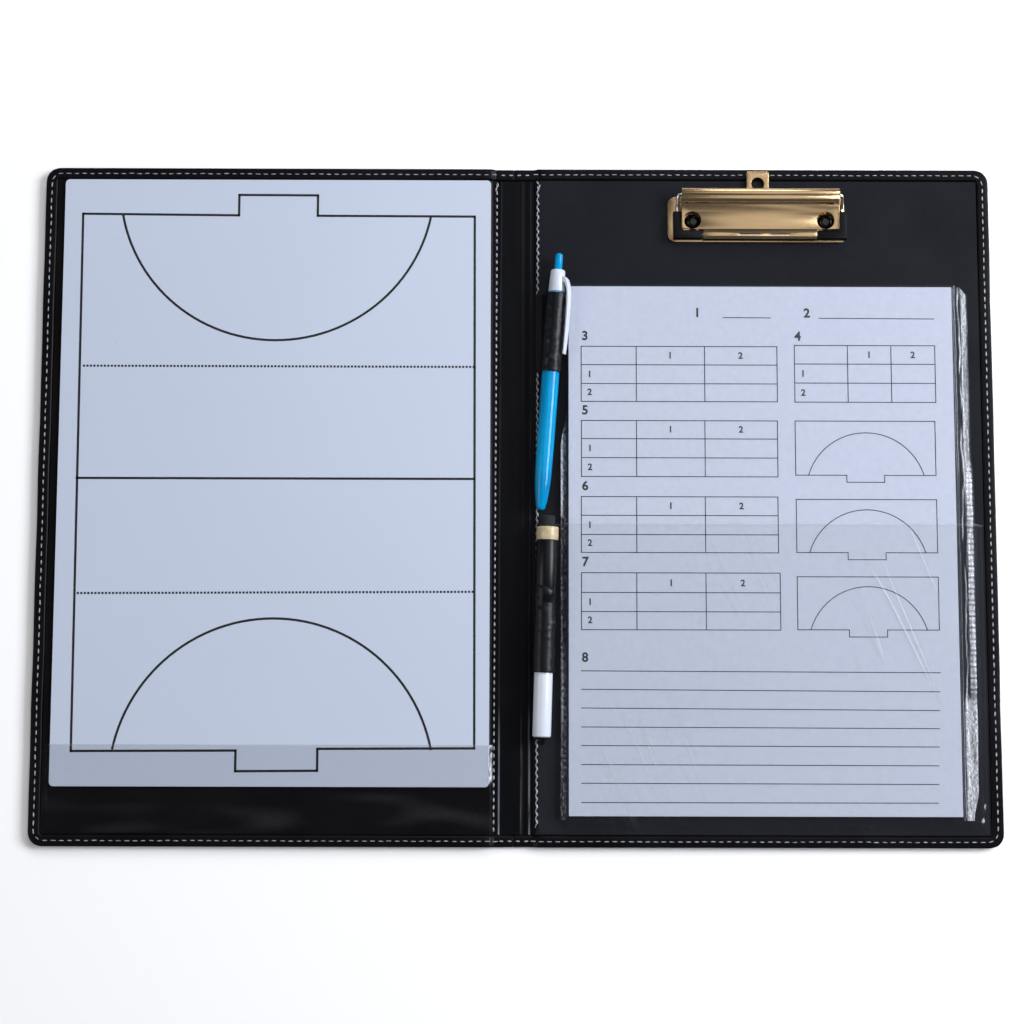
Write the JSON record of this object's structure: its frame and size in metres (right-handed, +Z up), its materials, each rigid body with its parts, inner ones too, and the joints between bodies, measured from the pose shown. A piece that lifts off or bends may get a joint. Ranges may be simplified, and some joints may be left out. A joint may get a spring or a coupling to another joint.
{
  "type": "tactics folder",
  "caption": "Open coach's folder: wipe-clean pitch board in a clear pocket, spring clip with hanger, pad of score sheets in a bag, and pen loops with a pen and a marker.",
  "frame": {"origin": "centre of the open folder's outline, on the surface that it lies on", "axes": "+X across the open folder, towards the clip's cover; +Y up the page, towards the clip; +Z up, off the surface"},
  "size_m": [0.466, 0.332, 0.0156],
  "materials": {
    "leatherette": "embossed satin",
    "grey_board": "matt",
    "clear_film": "clear gloss",
    "poly_film": "clear gloss",
    "whiteboard_laminate": "gloss",
    "gold_steel": "polished, gold plated",
    "bright_steel": "polished",
    "black_rivet": "dark polished",
    "black_rubber": "matt",
    "paper": "matt",
    "blue_plastic": "gloss",
    "white_plastic": "gloss",
    "black_plastic": "gloss",
    "refill_brass": "satin",
    "spring_steel": "polished",
    "felt": "felt"
  },
  "bodies": {
    "back_cover": {"back_outer_skin": "leatherette", "back_stiffener": "grey_board", "back_lining": "leatherette", "back_pocket_film": "clear_film", "pen_loop_upper": "leatherette", "pen_loop_lower": "leatherette", "clip_base_plate": "gold_steel", "clip_rivet_left": "black_rivet", "clip_rivet_right": "black_rivet", "clip_hinge_pin": "bright_steel"},
    "spine": {"spine_outer_skin": "leatherette", "spine_lining": "leatherette"},
    "front_cover": {"front_outer_skin": "leatherette", "front_stiffener": "grey_board", "front_lining": "leatherette", "front_pocket_film": "clear_film"},
    "board": {"whiteboard": "whiteboard_laminate"},
    "score_pad": {"score_sheets": "paper", "pad_backing_card": "grey_board", "poly_bag": "poly_film"},
    "flap": {"clip_flap": "gold_steel", "clip_wire_frame": "bright_steel", "clip_cap_left": "black_rubber", "clip_cap_right": "black_rubber", "clip_spring_left": "spring_steel", "clip_spring_right": "spring_steel"},
    "hanger": {"clip_hanger": "gold_steel"},
    "pen": {"pen_barrel": "blue_plastic", "pen_collar": "white_plastic", "pen_spring": "spring_steel"},
    "pen_insides": {"pen_button": "blue_plastic", "pen_refill": "refill_brass"},
    "marker_top": {"marker_cap": "black_plastic", "marker_ring": "white_plastic", "marker_wiper": "felt"},
    "marker_body": {"marker_barrel": "white_plastic", "marker_end_plug": "black_plastic", "marker_nib": "felt"}
  },
  "joints": [
    {"name": "back_crease", "type": "hinge", "parent": "back_cover", "child": "spine", "pos_m": [0.0068, 0, 0.0022], "axis": [0, -1, 0], "range_deg": [-90, 0]},
    {"name": "front_crease", "type": "hinge", "parent": "spine", "child": "front_cover", "pos_m": [-0.0096, 0, 0.0022], "axis": [0, -1, 0], "range_deg": [-90, 0]},
    {"name": "board_slide", "type": "slide", "parent": "front_cover", "child": "board", "axis": [0, 1, 0], "range_m": [0, 0.06]},
    {"name": "pad_slide", "type": "slide", "parent": "back_cover", "child": "score_pad", "axis": [0, 1, 0], "range_m": [0, 0.012]},
    {"name": "clip_hinge", "type": "hinge", "parent": "back_cover", "child": "flap", "pos_m": [0.1193, 0.1492, 0.0083], "axis": [-1, 0, 0], "range_deg": [0, 30], "stiffness_Nm_per_rad": 0.1, "springref_deg": -68.75},
    {"name": "hanger_slide", "type": "slide", "parent": "back_cover", "child": "hanger", "axis": [0, 1, 0], "range_m": [0, 0.012]},
    {"name": "pen_slide", "type": "slide", "parent": "back_cover", "child": "pen", "axis": [0.0713, 0.9975, 0], "range_m": [0, 0.112]},
    {"name": "pen_button_press", "type": "slide", "parent": "pen", "child": "pen_insides", "axis": [-0.0713, -0.9975, 0], "range_m": [0, 0.004], "stiffness_N_per_m": 200, "springref_m": -0.002, "deforming": ["pen_spring"]},
    {"name": "marker_slide", "type": "slide", "parent": "back_cover", "child": "marker_top", "axis": [-0.0284, -0.9996, 0], "range_m": [0, 0.08]},
    {"name": "marker_uncap", "type": "slide", "parent": "marker_top", "child": "marker_body", "axis": [-0.0284, -0.9996, 0], "range_m": [0, 0.033]}
  ]
}
